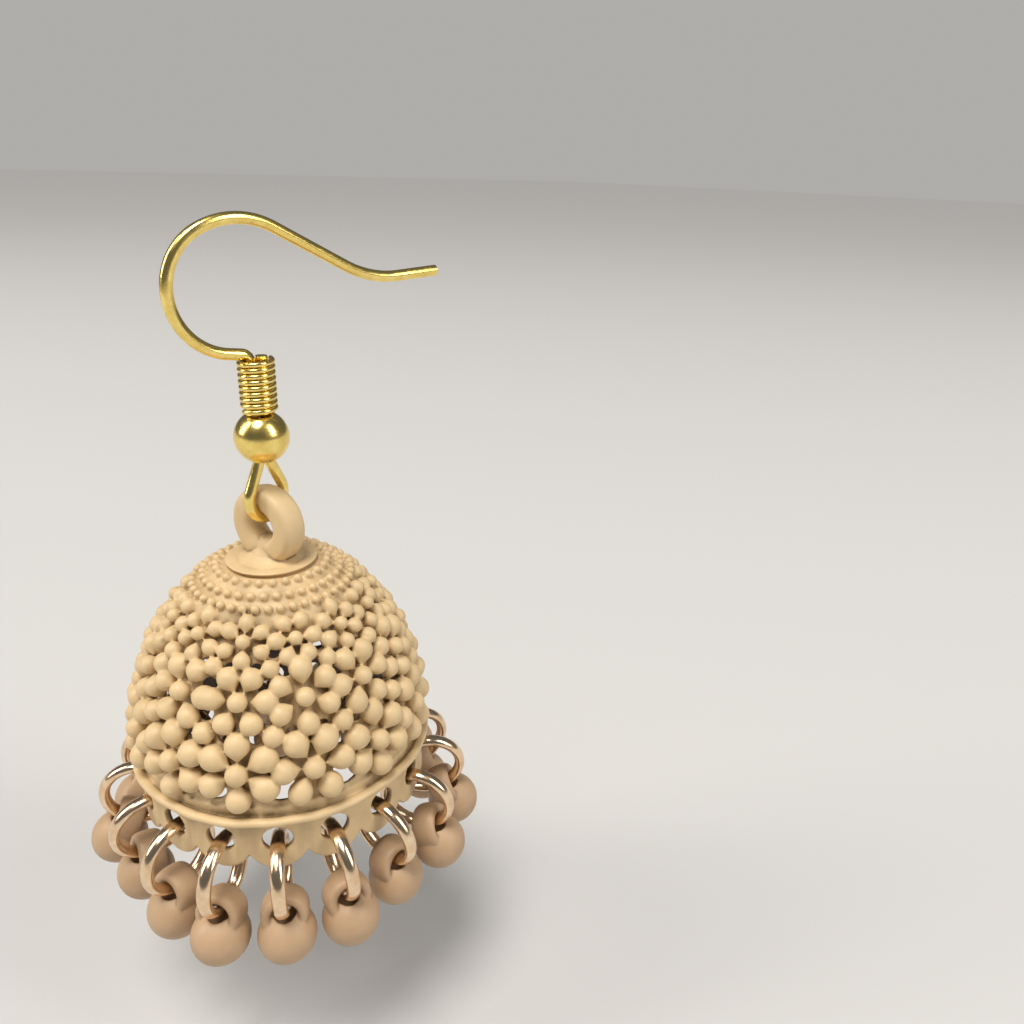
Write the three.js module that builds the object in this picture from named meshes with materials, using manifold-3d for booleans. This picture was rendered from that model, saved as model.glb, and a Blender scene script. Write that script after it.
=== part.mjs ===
// A small jhumka earring: a pierced bell under a round fish hook, with a fringe of ball drops.
// Millimetres, +Z up. The hook lies in the XZ plane with its bend towards -X, and the origin is
// where it hangs: the underside of the wire at the top of the bend.

import * as THREE from 'three';
import { mergeVertices } from 'three/addons/utils/BufferGeometryUtils.js';
import Module from 'manifold-3d';

const wasm = await Module();
wasm.setup();

// Bell: one casting with a cap disc on top and a rolled rim below
const rimRadius = 9.0; // outside of the rolled rim
const rimProud = 0.5; // how far the rim stands out from the wall
const rimHeight = 0.6;
const rimDrop = 0.3; // how far the rim hangs below the foot of the wall
const bellHeight = 11.9; // foot of the wall to the top of the cap disc
const bellFullness = 1.9; // exponent of the wall's curve, 2 would be an ellipse
const crownRise = 0.5; // the wall's curve would close this far above the cap disc
const wallThickness = 0.55;
const capRadius = 2.6;
const capThickness = 0.3;

// Flowers on the bell: rows of six round petals about a ball
const flowerSpacing = 4.22; // wanted distance between flowers along the lowest row
const petalRise = 0.55; // height of a petal over the wall
const centreRise = 0.7; // height of a flower's middle ball and of the small balls
const reliefSink = 0.16; // how deep a relief's edge sits in the wall
const ornamentTurn = -133.6; // direction of the first column of flowers, in degrees

// Skirt: a scalloped band under the rim, with a round hole in every lobe
const skirtThickness = 0.44;
const skirtInset = 0.65; // middle of the band, in from the outside of the rim
const skirtHoleRadius = 0.85;
const webAbove = 0.27; // between the rim and a hole
const lobeWeb = 0.85; // a lobe's radius beyond its hole
const lobeDrop = 0.3; // how far a lobe's centre lies under its hole's centre
const skirtTurn = -141.8; // direction of the first hole, in degrees

// Bail ring on the cap disc
const bailHalfDepth = 0.75; // half the ring's thickness, outwards from its middle
const bailWidth = 1.64; // along the ring's axis
const bailPlay = 0.52; // the hole's radius beyond the hook wire's
const bailSink = 0.39; // how deep the ring stands in the disc

// Jump rings and ball drops
const ringInnerRadius = 1.58;
const ringWire = 0.82;
const eyeletHoleRadius = 0.775;
const eyeletWall = 0.72; // from the hole outwards
const eyeletWidth = 1.1; // along the hole
const ballDiameter = 3.42;
const ballReach = 1.96; // middle of the eyelet to the middle of the ball
const dropCrowding = 0.9; // distance between holes, as a share of a ball's diameter
const ringSlack = 0.12; // play of a ring in its hole, and of an eyelet on its ring

// Hook wire, the coil round its two legs and the ball under the coil
const hookWire = 0.64;
const legGap = 0.04; // between the two legs
const coilWire = 0.3;
const coilTurns = 8.5;
const coilGap = 0.02; // between turns
const fitGap = 0.05; // round the legs in the coil and in the ball
const hookBallDiameter = 3.0;
const stackGap = 0.08; // between the ball and the coil
const loopPlay = 0.12; // between the loop and the bail, on each side
const loopDrop = 3.42; // underside of the ball to the middle of the loop's lowest wire
const loopTurn = 18; // degrees that the loop is twisted out of the hook's plane
const nubHeight = 0.05; // end of the short leg above the coil
const shoulderRadius = 0.45;
const shoulderRun = 0.69;
const bendRadius = 3.3;
const crownRadius = 4.4; // flatter top of the bend
const slopeLength = 4.6;
const tailRadius = 6.6;
const tailLength = 2.7;

// Sides and steps of the round forms
const wallSegments = 24;
const beadSides = 10;
const wireSides = 6;
const linkWireSides = 5;

// Sizes that follow
const wallRadius = rimRadius - rimProud;
const wallCrown = bellHeight + crownRise;
const skirtRadius = rimRadius - skirtInset;
const hookRadius = hookWire / 2;
const ballRadius = ballDiameter / 2;
const flowerColumns = Math.round((2 * Math.PI * rimRadius) / flowerSpacing);
const dropCount = Math.round((2 * Math.PI * skirtRadius) / (ballDiameter * dropCrowding));
const holeHeight = -rimDrop - webAbove - skirtHoleRadius;
const lobeRadius = skirtHoleRadius + lobeWeb;
const bailHoleRadius = hookRadius + bailPlay;
const bailRadius = bailHoleRadius + bailHalfDepth;
const bailHeight = bellHeight - bailSink + bailRadius + bailHalfDepth;
const loopHeight = bailHeight + bailHoleRadius - fitGap - hookRadius;
const loopRadius = bailWidth / 2 + loopPlay + hookRadius;
const legOffset = hookRadius + legGap / 2;
const legReach = legOffset + hookRadius;
const ballBore = (legReach + fitGap) / Math.cos(Math.PI / beadSides);
const ballHalfHeight = Math.sqrt((hookBallDiameter / 2) ** 2 - ballBore ** 2);
const ballUnderside = loopHeight + loopDrop;
const ballHeight = ballUnderside + ballHalfHeight;
const coilPitch = coilWire + coilGap;
const coilRadius = legReach + fitGap + coilWire / 2;
const coilBottom = ballHeight + ballHalfHeight + stackGap;
const coilTop = coilBottom + coilTurns * coilPitch + coilWire;

const radians = THREE.MathUtils.degToRad;

// A closed mesh as a solid that can be joined and cut
function solid(geometry) {
  geometry.deleteAttribute('normal');
  geometry.deleteAttribute('uv');
  const merged = mergeVertices(geometry, 1e-4);
  const corners = merged.index.array;
  const triangles = [];
  for (let i = 0; i < corners.length; i += 3) {
    const [a, b, c] = corners.slice(i, i + 3);
    if (a !== b && b !== c && c !== a) triangles.push([a, b, c]);
  }
  const spots = merged.attributes.position;
  const at = (i) => new THREE.Vector3().fromBufferAttribute(spots, i);
  let volume = 0;
  for (const [a, b, c] of triangles) volume += at(a).dot(at(b).cross(at(c)));
  const outward = volume > 0 ? triangles : triangles.map(([a, b, c]) => [a, c, b]);
  return new wasm.Manifold(
    new wasm.Mesh({
      numProp: 3,
      vertProperties: new Float32Array(spots.array),
      triVerts: Uint32Array.from(outward.flat()),
    }),
  );
}

// A solid as the geometry of a mesh
function geometryOf(body) {
  const { vertProperties, triVerts } = body.getMesh();
  const geometry = new THREE.BufferGeometry();
  geometry.setAttribute('position', new THREE.BufferAttribute(vertProperties, 3));
  geometry.setIndex(new THREE.BufferAttribute(triVerts, 1));
  geometry.computeVertexNormals();
  return geometry;
}

// A closed mesh from its points and triangles
function patchwork(points, triangles) {
  const geometry = new THREE.BufferGeometry();
  geometry.setAttribute('position', new THREE.Float32BufferAttribute(points.flat(), 3));
  geometry.setIndex(triangles.flat());
  return geometry;
}

// A profile of [radius, height] points turned about Z
function turned(profile, sides) {
  const points = profile.map(([radius, height]) => new THREE.Vector2(radius, height));
  return new THREE.LatheGeometry(points, sides).rotateX(Math.PI / 2);
}

// A curve through stations, with one step of a sweep at each of them
class Stations extends THREE.Curve {
  constructor(points) {
    super();
    this.points = points;
  }

  getUtoTmapping(share) {
    return share;
  }

  getPoint(share, target = new THREE.Vector3()) {
    const place = share * (this.points.length - 1);
    const before = Math.min(Math.floor(place), this.points.length - 2);
    return target.lerpVectors(this.points[before], this.points[before + 1], place - before);
  }

  getTangent(share, target = new THREE.Vector3()) {
    const last = this.points.length - 1;
    const here = Math.round(share * last);
    const run = (i) => this.points[i + 1].clone().sub(this.points[i]).normalize();
    return target.addVectors(run(Math.max(here - 1, 0)), run(Math.min(here, last - 1))).normalize();
  }
}

// Round wire along stations
function wireAlong(points, radius, sides) {
  const section = new THREE.Shape();
  section.setFromPoints(
    Array.from({ length: sides }, (_, i) => {
      const angle = (2 * Math.PI * i) / sides;
      return new THREE.Vector2(radius * Math.cos(angle), radius * Math.sin(angle));
    }),
  );
  const options = { steps: points.length - 1, extrudePath: new Stations(points) };
  return solid(new THREE.ExtrudeGeometry(section, options));
}

// Wall of the bell. A point of its curve is named by an angle, 0 at the rim and 90 at the crown.
function wallPoint(angle, inset = 0) {
  const radius = (wallRadius - inset) * Math.cos(angle);
  const height = (wallCrown - inset) * Math.sin(angle) ** (2 / bellFullness);
  return [radius, height];
}

function wallAngle(height, inset = 0) {
  return Math.asin((height / (wallCrown - inset)) ** (bellFullness / 2));
}

// A patch of the wall about one place, as a function of the way across, the way up and the
// distance out of the wall
function wallPatch(direction, height) {
  const step = 1e-3;
  const middle = wallAngle(height);
  const [ra, za] = wallPoint(middle - step);
  const [rb, zb] = wallPoint(middle + step);
  const speed = Math.hypot(rb - ra, zb - za) / (2 * step);
  const radius = wallPoint(middle)[0];
  return (across, up, rise) => {
    const angle = middle + up / speed;
    const [r0, z0] = wallPoint(angle - step);
    const [r1, z1] = wallPoint(angle + step);
    const length = Math.hypot(r1 - r0, z1 - z0);
    const out = (r0 + r1) / 2 + (rise * (z1 - z0)) / length;
    const turn = direction + across / radius;
    return [out * Math.cos(turn), out * Math.sin(turn), (z0 + z1) / 2 + (rise * (r0 - r1)) / length];
  };
}

// The room that one flower has along its row
function flowerPitch(height) {
  return (2 * Math.PI * (wallPoint(wallAngle(height))[0] + petalRise)) / flowerColumns;
}

// A raised knob on the wall: an outline of [across, up] points just inside the wall, and a peak
function knob(patch, outline, [peakAcross, peakUp], rise) {
  const points = [patch(peakAcross, peakUp, rise), patch(peakAcross, peakUp, -2 * reliefSink)];
  const triangles = [];
  outline.forEach(([across, up], i) => {
    points.push(patch(across, up, -reliefSink));
    const next = 2 + ((i + 1) % outline.length);
    triangles.push([0, 2 + i, next], [1, next, 2 + i]);
  });
  return solid(patchwork(points, triangles));
}

// Six petals about a middle ball. Reaches are shares of the flower's pitch.
const petalShape = { root: 0.2, side: 0.4, peak: 0.39, tip: 0.535, sideTurn: 21, middle: 0.17 };

function polar(reach, degrees) {
  return [reach * Math.cos(radians(degrees)), reach * Math.sin(radians(degrees))];
}

function flower(direction, height, turn) {
  const pitch = flowerPitch(height);
  const patch = wallPatch(direction, height);
  const { root, side, peak, tip, sideTurn } = petalShape;
  const petals = [0, 60, 120, 180, 240, 300].map((step) => {
    const lie = turn + step;
    const outline = [[root, 0], [side, -sideTurn], [tip, 0], [side, sideTurn]];
    const corners = outline.map(([reach, aside]) => polar(reach * pitch, lie + aside));
    return knob(patch, corners, polar(peak * pitch, lie), petalRise);
  });
  return [...petals, smallBall(direction, height, petalShape.middle * pitch)];
}

// One small ball on the wall
function smallBall(direction, height, radius) {
  const outline = [0, 72, 144, 216, 288].map((degrees) => polar(radius, degrees + 90));
  return knob(wallPatch(direction, height), outline, [0, 0], centreRise);
}

// A four-cornered piercing straight through the wall and what stands on it
function piercing(direction, height, across, up) {
  const patch = wallPatch(direction, height);
  const outside = 2 * centreRise;
  const inside = -2.5 * wallThickness;
  const corners = [[across, 0], [0, up], [-across, 0], [0, -up]];
  const points = corners.flatMap(([a, u]) => [patch(a, u, inside), patch(a, u, outside)]);
  const triangles = [[1, 3, 5], [1, 5, 7], [0, 4, 2], [0, 6, 4]];
  for (let i = 0; i < corners.length; i++) {
    const here = 2 * i;
    const next = (here + 2) % points.length;
    triangles.push([here, next, next + 1], [here, next + 1, here + 1]);
  }
  return solid(patchwork(points, triangles));
}

// Rows of flowers and of small balls. Heights are shares of the bell's height.
const flowerRows = [0.262, 0.587, 0.819];
const ballRows = [0.437, 0.706];
const smallBallShare = 0.14; // a small ball's radius, as a share of a flower's pitch

// Piercings between one column of flowers and the next. A place is a share of the way to the next
// column, the height a share of the bell's, and the half width and half height shares of a
// flower's pitch. Those beside a row of flowers lean towards the flower whose petals point sideways.
const piercings = [
  { beside: 0, place: 0.5, height: 0.155, across: 0.17, up: 0.15 },
  { beside: 0, place: 0.5, height: 0.352, across: 0.09, up: 0.08 },
  { beside: 1, place: 0.5, height: 0.5, across: 0.09, up: 0.09 },
  { beside: 1, place: 0.5, height: 0.645, across: 0.1, up: 0.09 },
  { beside: 2, place: 0.5, height: 0.765, across: 0.1, up: 0.09 },
];
const piercingLean = 0.08;

function isTurned(row, column) {
  return (row + column) % 2 === 0;
}

// Cap disc, wall, rolled rim and the hollow inside, as one turned form
function bell() {
  const wallTop = wallAngle(bellHeight - capThickness);
  const wallFoot = wallAngle(rimHeight - rimDrop);
  const ceiling = bellHeight - capThickness - wallThickness;
  const ceilingAngle = wallAngle(ceiling, wallThickness);
  const rim = rimHeight / 2;
  const profile = [
    [0, bellHeight],
    [capRadius, bellHeight],
    [capRadius, bellHeight - capThickness],
  ];
  const outerSteps = 5;
  for (let i = 0; i <= outerSteps; i++) {
    profile.push(wallPoint(wallTop + ((wallFoot - wallTop) * i) / outerSteps));
  }
  profile.push([rimRadius - rim * 0.4, rimHeight - rimDrop - rim * 0.2]);
  profile.push([rimRadius, rim - rimDrop]);
  profile.push([rimRadius - rim * 0.4, rim * 0.2 - rimDrop]);
  profile.push([wallRadius, -rimDrop], [wallRadius - wallThickness, -rimDrop]);
  const innerSteps = 4;
  for (let i = 0; i <= innerSteps; i++) {
    profile.push(wallPoint((ceilingAngle * i) / innerSteps, wallThickness));
  }
  profile.push([0, ceiling]);
  return solid(turned(profile, wallSegments));
}

// Scalloped band: its lower edge is an arc under each hole
function skirt() {
  const stepsPerLobe = 6;
  const count = dropCount * stepsPerLobe;
  const inner = skirtRadius - skirtThickness / 2;
  const outer = skirtRadius + skirtThickness / 2;
  const head = rimHeight / 2 - rimDrop;
  const halfPitch = (Math.PI * skirtRadius) / dropCount;
  const points = [];
  const triangles = [];
  for (let i = 0; i < count; i++) {
    const angle = radians(skirtTurn) + (2 * Math.PI * i) / count;
    const side = (2 * ((i + stepsPerLobe / 2) % stepsPerLobe)) / stepsPerLobe - 1;
    const along = side * halfPitch;
    const foot = holeHeight - lobeDrop - Math.sqrt(Math.max(lobeRadius ** 2 - along ** 2, 0));
    const corners = [[outer, head], [outer, foot], [inner, foot], [inner, head]];
    for (const [radius, height] of corners) {
      points.push([radius * Math.cos(angle), radius * Math.sin(angle), height]);
    }
    for (let k = 0; k < 4; k++) {
      const [a, b] = [4 * i + k, 4 * i + ((k + 1) % 4)];
      const [c, d] = [a, b].map((corner) => (corner + 4) % (4 * count));
      triangles.push([a, b, d], [a, d, c]);
    }
  }
  return solid(patchwork(points, triangles));
}

// One hole of the skirt, as the bar that cuts it
function skirtHole(index) {
  const sides = 8;
  const bar = new THREE.CylinderGeometry(skirtHoleRadius, skirtHoleRadius, 4 * skirtThickness, sides);
  bar.rotateX(Math.PI).rotateZ(Math.PI / 2);
  bar.translate(skirtRadius, 0, holeHeight);
  return solid(bar.rotateZ(radians(skirtTurn) + (2 * Math.PI * index) / dropCount));
}

// Thick ring that stands on the cap disc, square to the hook's loop
function bail() {
  const ring = new THREE.TorusGeometry(bailRadius, bailHalfDepth, 6, 14);
  ring.scale(1, 1, bailWidth / 2 / bailHalfDepth);
  ring.rotateX(Math.PI / 2).rotateZ(Math.PI / 2 + radians(loopTurn));
  return solid(ring.translate(0, 0, bailHeight));
}

function jhumkaDome() {
  const step = (2 * Math.PI) / flowerColumns;
  const first = radians(ornamentTurn);
  const reliefs = [skirt(), bail()];
  const cuts = [];
  for (let column = 0; column < flowerColumns; column++) {
    const direction = first + column * step;
    flowerRows.forEach((share, row) => {
      const turn = isTurned(row, column) ? 30 : 0;
      reliefs.push(...flower(direction, share * bellHeight, turn));
    });
    for (const share of ballRows) {
      const height = share * bellHeight;
      reliefs.push(smallBall(direction + step / 2, height, smallBallShare * flowerPitch(height)));
    }
    for (const { beside, place, height, across, up } of piercings) {
      const lean = isTurned(beside, column) ? piercingLean : -piercingLean;
      const pitch = flowerPitch(height * bellHeight);
      const toward = direction + (place + lean) * step;
      cuts.push(piercing(toward, height * bellHeight, across * pitch, up * pitch));
    }
  }
  for (let i = 0; i < dropCount; i++) cuts.push(skirtHole(i));
  return wasm.Manifold.union([bell(), ...reliefs]).subtract(wasm.Manifold.union(cuts));
}

// The hook wire, from the nub over the coil, down through the ball, round the loop and back up,
// over the shoulder and the bend to the tip. A route is walked in the hook's plane.
class Route {
  constructor(x, z, heading) {
    this.spot = new THREE.Vector2(x, z);
    this.heading = radians(heading);
    this.stations = [this.spot.clone()];
  }

  go(length) {
    this.spot.x += length * Math.cos(this.heading);
    this.spot.y += length * Math.sin(this.heading);
    this.stations.push(this.spot.clone());
  }

  // A bend of some degrees, to the left where they are positive. Gives the arc's centre.
  bend(radius, degrees, steps) {
    const side = Math.sign(degrees);
    const inward = this.heading + (side * Math.PI) / 2;
    const toCentre = new THREE.Vector2(Math.cos(inward), Math.sin(inward)).multiplyScalar(radius);
    const centre = this.spot.clone().add(toCentre);
    const start = this.spot.clone();
    for (let i = 1; i <= steps; i++) {
      const turn = (radians(degrees) * i) / steps;
      this.spot = start.clone().rotateAround(centre, turn);
      this.stations.push(this.spot.clone());
    }
    this.heading += radians(degrees);
    return centre;
  }
}

// The shoulder starts where its underside clears the coil's last turn
const shoulderHeight = coilTop - coilPitch / 2 + fitGap - (shoulderRadius - hookRadius);
const overTheEar = new Route(-legOffset, shoulderHeight, 90);
overTheEar.bend(shoulderRadius, 82, 4);
overTheEar.go(shoulderRun);
overTheEar.bend(bendRadius, -144, 12);
const crownCentre = overTheEar.bend(crownRadius, -55, 6);
overTheEar.go(slopeLength);
overTheEar.bend(tailRadius, 30.6, 5);
overTheEar.go(tailLength);

const hangX = crownCentre.x;
const hangHeight = crownCentre.y + crownRadius - hookRadius;

// The loop, with straight legs that touch its circle
function loopStations() {
  const centre = loopHeight + loopRadius;
  const legFoot = ballUnderside - fitGap;
  const reach = Math.hypot(legOffset, legFoot - centre);
  const touch = Math.atan2(legFoot - centre, legOffset) - Math.acos(loopRadius / reach);
  const steps = 14;
  const stations = [new THREE.Vector2(legOffset, legFoot)];
  for (let i = 0; i <= steps; i++) {
    const angle = touch - ((Math.PI + 2 * touch) * i) / steps;
    stations.push(
      new THREE.Vector2(loopRadius * Math.cos(angle), centre + loopRadius * Math.sin(angle)),
    );
  }
  stations.push(new THREE.Vector2(-legOffset, legFoot));
  return stations;
}

function earHook() {
  const legSteps = 2;
  const legFoot = ballUnderside - fitGap;
  const leg = (side, top) =>
    Array.from({ length: legSteps }, (_, i) => {
      const height = legFoot + ((top - legFoot) * (i + 1)) / (legSteps + 1);
      return new THREE.Vector2(side * legOffset, height);
    });
  const flat = [
    new THREE.Vector2(legOffset, coilTop + nubHeight),
    ...leg(1, coilTop + nubHeight).reverse(),
    ...loopStations(),
    ...leg(-1, shoulderHeight),
    ...overTheEar.stations,
  ];
  // The legs turn about each other on their way down, by the loop's twist
  const twisted = flat.map(({ x, y: height }) => {
    const share = (shoulderHeight - height) / (shoulderHeight - legFoot);
    const twist = radians(loopTurn) * THREE.MathUtils.clamp(share, 0, 1);
    return new THREE.Vector3(x * Math.cos(twist), x * Math.sin(twist), height);
  });
  return wireAlong(twisted, hookRadius, wireSides);
}

function coilWrap() {
  const stepsPerTurn = 8;
  const steps = Math.round(coilTurns * stepsPerTurn);
  const stations = Array.from({ length: steps + 1 }, (_, i) => {
    const turn = i / stepsPerTurn;
    const angle = 2 * Math.PI * (turn - coilTurns);
    const height = coilBottom + coilWire / 2 + turn * coilPitch;
    return new THREE.Vector3(coilRadius * Math.cos(angle), coilRadius * Math.sin(angle), height);
  });
  return wireAlong(stations, coilWire / 2, linkWireSides);
}

function hookBall() {
  const radius = hookBallDiameter / 2;
  const edge = Math.asin(ballHalfHeight / radius);
  const steps = 8;
  const profile = Array.from({ length: steps + 1 }, (_, i) => {
    const angle = edge - (2 * edge * i) / steps;
    return [radius * Math.cos(angle), ballHeight + radius * Math.sin(angle)];
  });
  profile.push(profile[0]);
  return solid(turned(profile, beadSides));
}

// A jump ring in its own frame: the place where it hangs is the origin, and it lies in XZ
function jumpRing() {
  const radius = ringInnerRadius + ringWire / 2;
  const ring = new THREE.TorusGeometry(radius, ringWire / 2, linkWireSides, beadSides);
  ring.rotateX(Math.PI / 2);
  return solid(ring.translate(0, 0, ringSlack - ringInnerRadius));
}

// The eyelet hangs on the ring's lowest wire, and the ball grows out of the eyelet
const eyeletDepth = 2 * ringInnerRadius - 2 * ringSlack + eyeletHoleRadius;
const ballDepth = eyeletDepth + ballReach;

function ballDrop() {
  const radius = eyeletHoleRadius + eyeletWall / 2;
  const eyelet = new THREE.TorusGeometry(radius, eyeletWall / 2, linkWireSides, beadSides);
  eyelet.scale(1, 1, eyeletWidth / eyeletWall);
  eyelet.rotateX(Math.PI / 2).rotateZ(Math.PI / 2).translate(0, 0, -eyeletDepth);
  const bands = 6;
  const profile = Array.from({ length: bands + 1 }, (_, i) => {
    const angle = (Math.PI * i) / bands;
    return [ballRadius * Math.sin(angle), ballRadius * Math.cos(angle) - ballDepth];
  });
  profile[0][0] = 0;
  profile[bands][0] = 0;
  return solid(turned(profile, beadSides)).add(solid(eyelet));
}

// How each drop hangs: degrees that it swings outwards and sideways
const swings = [
  { out: 10.2, side: -0.9 },
  { out: 8.0, side: 1.8 },
  { out: 8.9, side: 4.1 },
  { out: 3.7, side: 8.3 },
  { out: 16.5, side: 9.2 },
  { out: 24.0, side: 9.6 },
  { out: 10.0, side: 6.0 },
  { out: 14.0, side: 3.0 },
  { out: 8.5, side: 1.5 },
  { out: 12.0, side: 0.5 },
  { out: 8.0, side: 0.0 },
  { out: 12.5, side: -0.5 },
  { out: 8.0, side: -1.5 },
  { out: 13.0, side: -3.0 },
  { out: 10.0, side: -6.0 },
  { out: 7.2, side: -9.2 },
  { out: 5.9, side: -2.5 },
];

// The place where a ring hangs in its hole, with axes outwards, along the skirt and up
function hanger(index, { out, side }) {
  const frame = new THREE.Group();
  const angle = radians(skirtTurn) + (2 * Math.PI * index) / dropCount;
  const height = holeHeight - skirtHoleRadius * Math.cos(Math.PI / 8);
  frame.position.set(skirtRadius * Math.cos(angle), skirtRadius * Math.sin(angle), height);
  frame.rotation.set(radians(side), -radians(out), angle, 'ZYX');
  return frame;
}

function ballCentre(index, swing) {
  const frame = hanger(index, swing);
  frame.updateMatrix();
  return new THREE.Vector3(0, 0, -ballDepth).applyMatrix4(frame.matrix);
}

// Neighbours that would touch settle as real ones do: the outer one is pushed further out
function settledSwings() {
  const swung = Array.from({ length: dropCount }, (_, i) => ({ ...swings[i % swings.length] }));
  const apart = ballDiameter + ringSlack / 2;
  let moved = true;
  while (moved) {
    moved = false;
    for (let i = 0; i < dropCount; i++) {
      const next = (i + 1) % dropCount;
      const gap = ballCentre(i, swung[i]).distanceTo(ballCentre(next, swung[next]));
      if (gap < apart) {
        const outer = swung[i].out > swung[next].out ? i : next;
        swung[outer].out += 1;
        moved = true;
      }
    }
  }
  return swung;
}

// Materials
const goldWire = { color: 0xd9a93a, roughness: 0.22, metalness: 1 };
const roseGold = { color: 0xc98f5a, roughness: 0.25, metalness: 1 };
const beigePaint = { color: 0xcdb08a, roughness: 0.55, metalness: 0 };

function piece(name, geometry, finish) {
  const mesh = new THREE.Mesh(geometry, new THREE.MeshStandardMaterial(finish));
  mesh.name = name;
  return mesh;
}

const earring = new THREE.Group();
earring.position.set(-hangX, 0, -hangHeight);
earring.add(
  piece('ear_hook', geometryOf(earHook()), goldWire),
  piece('coil_wrap', geometryOf(coilWrap()), goldWire),
  piece('hook_ball', geometryOf(hookBall()), goldWire),
  piece('jhumka_dome', geometryOf(jhumkaDome()), beigePaint),
);

const ringGeometry = geometryOf(jumpRing());
const dropGeometry = geometryOf(ballDrop());
settledSwings().forEach((swing, index) => {
  const number = String(index + 1).padStart(2, '0');
  const frame = hanger(index, swing);
  frame.add(
    piece(`jump_ring_${number}`, ringGeometry, roseGold),
    piece(`ball_drop_${number}`, dropGeometry, beigePaint),
  );
  earring.add(frame);
});

const group = new THREE.Group();
group.add(earring);

export default group;
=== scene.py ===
# %% [markdown]
# # Jhumka earring
# A jhumka is a small bell that hangs from a hook in the ear. This one is cast in zinc and painted
# beige. Its hook, coil and ball are gold, and a fringe of painted balls hangs on rose-gold rings.
#
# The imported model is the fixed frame. Every piece made here takes the place of the plain solid
# that has the same job, so the first step is to load the frame and keep its box.

# %% Load the frame
import math

import bmesh
import bpy
import numpy as np
from mathutils import Matrix, Vector


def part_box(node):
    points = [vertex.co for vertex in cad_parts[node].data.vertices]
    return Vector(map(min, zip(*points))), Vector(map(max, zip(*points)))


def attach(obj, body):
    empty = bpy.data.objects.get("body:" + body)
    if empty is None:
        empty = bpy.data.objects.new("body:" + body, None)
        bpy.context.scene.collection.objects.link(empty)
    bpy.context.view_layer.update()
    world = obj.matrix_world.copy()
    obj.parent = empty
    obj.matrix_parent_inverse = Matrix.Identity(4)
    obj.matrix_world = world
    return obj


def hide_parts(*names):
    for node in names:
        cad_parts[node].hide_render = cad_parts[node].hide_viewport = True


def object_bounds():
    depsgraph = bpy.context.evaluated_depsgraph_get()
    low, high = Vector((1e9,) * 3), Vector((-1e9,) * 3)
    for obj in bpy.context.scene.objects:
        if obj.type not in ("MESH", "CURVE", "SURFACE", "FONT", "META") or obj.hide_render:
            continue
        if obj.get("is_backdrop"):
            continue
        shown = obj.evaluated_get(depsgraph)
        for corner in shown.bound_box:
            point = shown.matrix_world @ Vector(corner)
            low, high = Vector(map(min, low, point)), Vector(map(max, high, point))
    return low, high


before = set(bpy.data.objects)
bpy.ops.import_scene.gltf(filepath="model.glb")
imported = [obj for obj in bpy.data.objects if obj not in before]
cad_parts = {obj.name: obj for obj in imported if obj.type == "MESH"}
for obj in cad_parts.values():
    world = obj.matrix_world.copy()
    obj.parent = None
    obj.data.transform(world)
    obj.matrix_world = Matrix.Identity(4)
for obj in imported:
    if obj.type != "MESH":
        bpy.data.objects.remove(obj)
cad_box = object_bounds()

print("frame nodes:", len(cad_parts))

# %% [markdown]
# The bell is round, so it is easiest to build about its own axis, in millimetres, with height 0
# at the foot of its wall. One matrix then takes everything to its place. The gold ball is
# centred on the same axis, and its place in the frame fixes the matrix.

# %% The bell's own axis, in millimetres
MILLIMETRE = 0.001
BALL_HEIGHT = 19.041  # centre of the gold ball over the foot of the wall

low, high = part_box("hook_ball")
ball_centre = (low + high) / 2
BELL_FRAME = Matrix.Translation(ball_centre) @ Matrix.Scale(MILLIMETRE, 4)
BELL_FRAME = BELL_FRAME @ Matrix.Translation((0, 0, -BALL_HEIGHT))
print("foot of the wall at", [round(x, 5) for x in BELL_FRAME.translation])

# %% [markdown]
# A few helpers are used by all the pieces. A mesh is made from points and faces, a profile is
# turned about the axis as on a lathe, and a finished piece is put in its place in the frame.

# %% Helpers for meshes
def in_scene(name, data):
    """A new object in the scene, for a mesh, a lamp or a camera."""
    made = bpy.data.objects.new(name, data)
    bpy.context.scene.collection.objects.link(made)
    return made


def discard(*pieces):
    for made in pieces:
        old = made.data
        bpy.data.objects.remove(made)
        bpy.data.meshes.remove(old)


def mesh_piece(name, points, faces, edges=()):
    mesh = bpy.data.meshes.new(name)
    mesh.from_pydata([tuple(p) for p in points], edges, faces)
    mesh.update()
    return in_scene(name, mesh)


def directions(count):
    """Angles all the way round."""
    return [2 * math.pi * i / count for i in range(count)]


def polar(radius, angle, height):
    return radius * math.cos(angle), radius * math.sin(angle), height


def turned_piece(name, profile, sides, closed=False):
    """A profile of (radius, height) pairs, turned about the axis. A radius of 0 gives a pole."""
    points, rings = [], []
    for radius, height in profile:
        if radius == 0:
            rings.append([len(points)] * sides)
            points.append((0, 0, height))
        else:
            rings.append(list(range(len(points), len(points) + sides)))
            points += [polar(radius, angle, height) for angle in directions(sides)]
    if closed:
        rings.append(rings[0])
    faces = []
    for upper, lower in zip(rings, rings[1:]):
        for i in range(sides):
            k = (i + 1) % sides
            corners = [upper[i], lower[i], lower[k], upper[k]]
            faces.append([c for n, c in enumerate(corners) if c != corners[n - 1]])
    return outward(mesh_piece(name, points, faces))


def ring_of_sections(name, sections):
    """A closed ring. Each section is a direction and its (radius, height) pairs."""
    points, faces = [], []
    size = len(sections[0][1])
    for here, (direction, section) in enumerate(sections):
        ahead = (here + 1) % len(sections)
        for k, (radius, height) in enumerate(section):
            points.append(polar(radius, direction, height))
            n = (k + 1) % size
            corners = [(here, k), (here, n), (ahead, n), (ahead, k)]
            faces.append([size * ring + corner for ring, corner in corners])
    return outward(mesh_piece(name, points, faces))


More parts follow.
